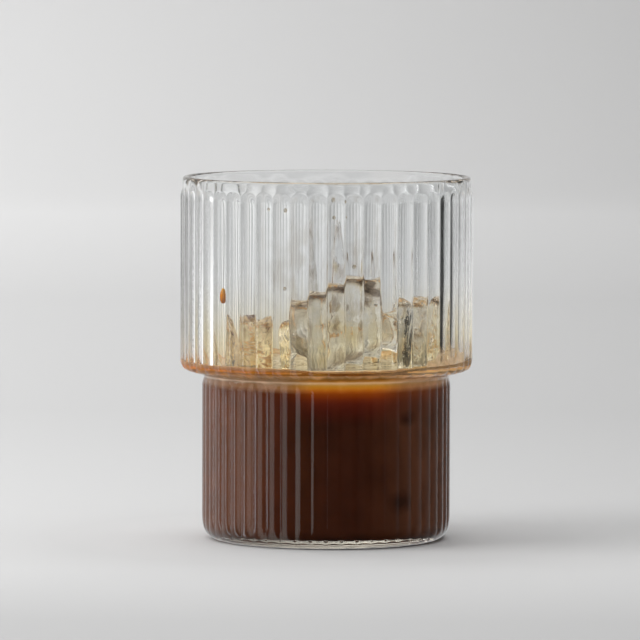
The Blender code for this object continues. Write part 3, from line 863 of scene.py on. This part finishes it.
def splashMaterial():
    # Thin coffee with melt water, nearly dry: grey-brown, glossy
    material, tree, shader = newMaterial(
        "coffeeSplashThin", {"Roughness": 0.15, "IOR": 1.34, "Transmission Weight": 0.9})
    place = addNode(tree, "TexCoord").outputs["Object"]
    drift = addNode(tree, "TexNoise", {"Scale": patternScale(1.111)}, {"Vector": place})
    tone = addNode(tree, "ValToRGB", {"stops": ((0.35, "#d8ccb8"), (0.65, "#f4eee4"))},
                   {"Fac": drift.outputs["Fac"]})
    tree.links.new(tone.outputs["Color"], shader.inputs["Base Color"])
    return material


def makeSplashes(material):
    # half sunk balls, flattened against the wall and drawn down a little
    lat, lon = ballGrid(12, 18)
    points, faces, first = [], [], 0
    for turn, z, size in splashes["beads"]:
        angle = front + math.radians(turn)
        along = size * np.cos(lat) * np.cos(lon)
        inward = size * splashes["flatness"] * np.cos(lat) * np.sin(lon)
        up = 1.3 * size * np.sin(lat) + 0 * lon
        wall = glass["upperBore"] + 0.1
        spin = angle + along / wall
        ball = turned(wall - inward, spin, z + up)
        poles = [(wall * math.cos(angle), wall * math.sin(angle), z + end * 1.3 * size) for end in (-1, 1)]
        flat, quads = roundGrid(ball, *poles)
        points.append(flat)
        faces += [[corner + first for corner in quad] for quad in quads]
        first += len(flat)
    piece = meshPiece("coffeeSplashes", np.vstack(points), faces, material)
    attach(piece, "root")


makeSplashes(splashMaterial())
print("splashes: made")


# The stage: a pale paper sweep, painted brighter at the left for the light that falls there, in a room that
# is bright at the left and dim elsewhere
stage = {
    "flatRadius": 1.9,
    "sweepRadius": 0.9,
    "wallHeight": 2.2,
    "dimSector": ((0.34, 1.75), (-30, 34)),
    # the paper's painted light, falling off from left to right, and evened from in front of the glass to the
    # back
    "acrossLightTones": ((0.25, 0.98), (0.4, 0.80), (0.6, 0.56), (0.75, 0.42), (1.0, 0.35)),
    "depthLightTones": ((0.0, 0.64), (0.05, 0.67), (0.10, 0.80), (0.2, 0.76), (0.32, 0.72), (0.58, 0.78),
                   (0.9, 1.0)),
}


def paperMaterial():
    # Matt seamless paper, its light falling off from left to right
    material, tree, shader = newMaterial("seamlessPaper", {"Roughness": 0.9, "Specular IOR Level": 0.1})
    place = addNode(tree, "TexCoord").outputs["Object"]
    split = addNode(tree, "SeparateXYZ", links={"Vector": place})
    share = addNode(tree, "MapRange", {1: -1.2, 2: 1.2}, {0: split.outputs["X"]})
    tone = addNode(tree, "ValToRGB", {"stops": stage["acrossLightTones"]}, {"Fac": share.outputs[0]})
    away = addNode(tree, "MapRange", {1: -0.3, 2: 1.9}, {0: split.outputs["Y"]})
    depth = addNode(tree, "ValToRGB", {"stops": stage["depthLightTones"]}, {"Fac": away.outputs[0]})
    evened = addNode(tree, "Mix", {"data_type": "RGBA", "blend_type": "MULTIPLY", 0: 1.0},
                     {6: tone.outputs["Color"], 7: depth.outputs["Color"]})
    # painted light: a little light that the glass throws on the paper round its foot, and a near floor
    # painted evener than the wall
    spot = addNode(tree, "VectorMath", {"operation": "DISTANCE", 1: (-0.004, 0.0, 0.0)}, {0: place})
    near = addNode(tree, "MapRange", {1: 0.070, 2: 0.036, 3: 1.0, 4: 1.12}, {0: spot.outputs["Value"]})
    forward = addNode(tree, "MapRange", {1: 0.06, 2: 0.0}, {0: split.outputs["Y"]})
    rightward = addNode(tree, "MapRange", {1: -0.07, 2: 0.07, 3: -0.03, 4: 0.05}, {0: split.outputs["X"]})
    evening = addNode(tree, "Math", {"operation": "MULTIPLY_ADD", 2: 1.0},
                      {0: forward.outputs[0], 1: rightward.outputs[0]})
    factor = addNode(tree, "Math", {"operation": "MULTIPLY"}, {0: near.outputs[0], 1: evening.outputs[0]})
    lifted = addNode(tree, "VectorMath", {"operation": "SCALE"},
                     {0: evened.outputs[2], "Scale": factor.outputs[0]})
    tree.links.new(lifted.outputs[0], shader.inputs["Base Color"])
    return material


def makeSweep(material):
    # a flat disc that turns up into a wall all round, open above
    flatR = np.linspace(0.02, stage["flatRadius"], 12)
    disc = np.column_stack((flatR, np.zeros_like(flatR)))
    centre = (stage["flatRadius"], stage["sweepRadius"])
    sweep = arcPoints(centre, stage["sweepRadius"], -90, 0, 24)[1:]
    wall = np.array(((sweep[-1, 0], stage["wallHeight"]),))
    profile = np.vstack((disc, sweep, wall))
    angle = np.arange(96) / 96 * 2 * math.pi
    radius = profile[:, 0][:, None]
    flat, faces = roundGrid(turned(radius, angle, profile[:, 1][:, None]), (0, 0, 0))
    faces = [face[::-1] for face in faces]
    piece = meshPiece("paperSweep", flat / mm, faces, material)
    piece.visible_glossy = False


def makeDimSector():
    # a dark strip low at the right that only light bent by the glass meets, for the dark lines in its ribs
    material = newMaterial("blackFlock", {"Base Color": (0.01, 0.01, 0.01, 1), "Roughness": 1.0})[0]
    (near, far), (start, end) = stage["dimSector"]
    angle = np.radians(np.linspace(start, end, 40))
    profile = np.array(((near, 0.002), (far, 0.002), (far, 0.6)))
    radius = profile[:, 0][:, None]
    points = turned(radius, angle, profile[:, 1][:, None])
    count = len(angle)
    index = np.arange(3 * count).reshape(3, count)
    faces = np.stack((index[:-1, :-1], index[:-1, 1:], index[1:, 1:], index[1:, :-1]), -1).reshape(-1, 4)
    piece = meshPiece("dimStrip", points.reshape(-1, 3) / mm, faces.tolist(), material)
    piece.visible_camera = False
    piece.visible_diffuse = False
    piece.visible_glossy = False
    piece.visible_shadow = False


makeSweep(paperMaterial())
makeDimSector()

lights = {
    "key": {"place": (-1.0, -0.25, 0.65), "aim": (0, 0, 0.05), "size": (0.7, 0.7), "power": 9.0},
    "top": {"place": (0.1, 0.6, 1.9), "aim": (0, 0.4, 0.0), "size": (1.8, 1.8), "power": 14.9},
    "back": {"place": (0.0, 1.4, 1.9), "aim": (0, 2.9, 0.7), "size": (1.2, 0.6), "power": 5.6},
    "left": {"place": (-1.1, 0.7, 1.5), "aim": (-1.9, 0.5, 0.3), "size": (0.8, 0.5), "power": 7.5},
}


# The room, by direction: its shares and tones run from in front to the back, or from the left to the right
room = {
    "backTones": ((0.0, 0.04), (0.42, 0.06), (0.50, 0.35), (0.62, 0.55), (0.8, 0.62)),
    "sideTones": ((0.74, 1.0), (0.84, 0.36), (1.0, 0.3)),
    "windowShare": ((0.19, 0.0), (0.24, 1.0), (0.37, 1.0), (0.43, 0.08), (0.6, 0.12), (0.72, 0.26),
                    (0.84, 0.0)),
    "windowLight": (1.5, 1.4, 1.28),
    "stripShare": ((0.51, 0.0), (0.525, 1.0), (0.575, 1.0), (0.59, 0.0)),
    "stripLight": (3.5, 3.5, 3.5),
}


def makeLights():
    for name, spec in lights.items():
        data = bpy.data.lights.new(name, "AREA")
        data.shape = "RECTANGLE"
        data.size, data.size_y = spec["size"]
        data.energy = spec["power"]
        lamp = bpy.data.objects.new(name, data)
        lamp.location = spec["place"]
        aim = Vector(spec["aim"]) - Vector(spec["place"])
        lamp.rotation_euler = aim.to_track_quat("-Z", "Y").to_euler()
        lamp.visible_camera = False
        lamp.visible_glossy = False
        scene.collection.objects.link(lamp)


def makeRoom():
    # what shines in the glass: a soft window at the left, lit paper behind, dim in front and at the right
    world = bpy.data.worlds.new("softRoom")
    world.use_nodes = True
    tree = world.node_tree
    toward = addNode(tree, "SeparateXYZ", links={"Vector": addNode(tree, "TexCoord").outputs["Generated"]})
    depth = addNode(tree, "MapRange", {1: -1.0, 2: 1.0}, {0: toward.outputs["Y"]})
    back = addNode(tree, "ValToRGB", {"stops": room["backTones"]}, {"Fac": depth.outputs[0]})
    side = addNode(tree, "MapRange", {1: -1.0, 2: 1.0}, {0: toward.outputs["X"]})
    dim = addNode(tree, "ValToRGB", {"stops": room["sideTones"]}, {"Fac": side.outputs[0]})
    dimmed = addNode(tree, "Mix", {"data_type": "RGBA", "blend_type": "MULTIPLY", 0: 1.0},
                     {6: back.outputs["Color"], 7: dim.outputs["Color"]})
    # 0 to 1 is straight in front, round by the left, to the back: the window stands at 38 to 74 degrees
    bearing = addNode(tree, "Math", {"operation": "ARCTAN2"},
                      {0: toward.outputs["X"], 1: toward.outputs["Y"]})
    turn = addNode(tree, "MapRange", {1: -math.pi, 2: 0.0}, {0: bearing.outputs[0]})
    window = addNode(tree, "ValToRGB", {"stops": room["windowShare"]}, {"Fac": turn.outputs[0]})
    windowed = addNode(tree, "Mix", {"data_type": "RGBA", 7: (*room["windowLight"], 1)},
                       {0: window.outputs["Color"], 6: dimmed.outputs[2]})
    # straight at the left stands a narrow bright strip, which ends just below the horizon
    strip = addNode(tree, "ValToRGB", {"stops": room["stripShare"]}, {"Fac": depth.outputs[0]})
    below = addNode(tree, "MapRange", {1: -0.050, 2: -0.062}, {0: toward.outputs["Z"]})
    low = addNode(tree, "Math", {"operation": "MULTIPLY"}, {0: strip.outputs["Color"], 1: below.outputs[0]})
    leftward = addNode(tree, "MapRange", {1: 0.1, 2: 0.05}, {0: side.outputs[0]})
    inStrip = addNode(tree, "Math", {"operation": "MULTIPLY"}, {0: low.outputs[0], 1: leftward.outputs[0]})
    striped = addNode(tree, "Mix", {"data_type": "RGBA", 7: (*room["stripLight"], 1)},
                      {0: inStrip.outputs[0], 6: windowed.outputs[2]})
    overhead = addNode(tree, "MapRange", {1: 0.45, 2: 0.7}, {0: toward.outputs["Z"]})
    whole = addNode(tree, "Mix", {"data_type": "RGBA", 7: (0.9, 0.9, 0.9, 1)},
                    {0: overhead.outputs[0], 6: striped.outputs[2]})
    tree.links.new(whole.outputs[2], tree.nodes["Background"].inputs["Color"])
    scene.world = world


makeLights()
makeRoom()


def makeCamera():
    # a long lens, 1.64 m away and 4 degrees down
    data = bpy.data.cameras.new("camera")
    data.sensor_width = 36.0
    data.lens = 337.0
    data.clip_start, data.clip_end = 0.05, 20.0
    camera = bpy.data.objects.new("camera", data)
    pitch = Matrix.Rotation(math.pi / 2 - 0.07076, 4, "X")
    roll = Matrix.Rotation(0.0028, 4, "Z")
    camera.matrix_world = Matrix.Translation((-0.00178, -1.6373, 0.1759)) @ pitch @ roll
    scene.collection.objects.link(camera)
    scene.camera = camera


makeCamera()
scene.view_settings.view_transform = "Standard"
scene.cycles.max_bounces = 24
scene.cycles.transmission_bounces = 24
scene.cycles.glossy_bounces = 12
scene.cycles.diffuse_bounces = 4
scene.cycles.transparent_max_bounces = 16
print("stage, lights and camera: made")
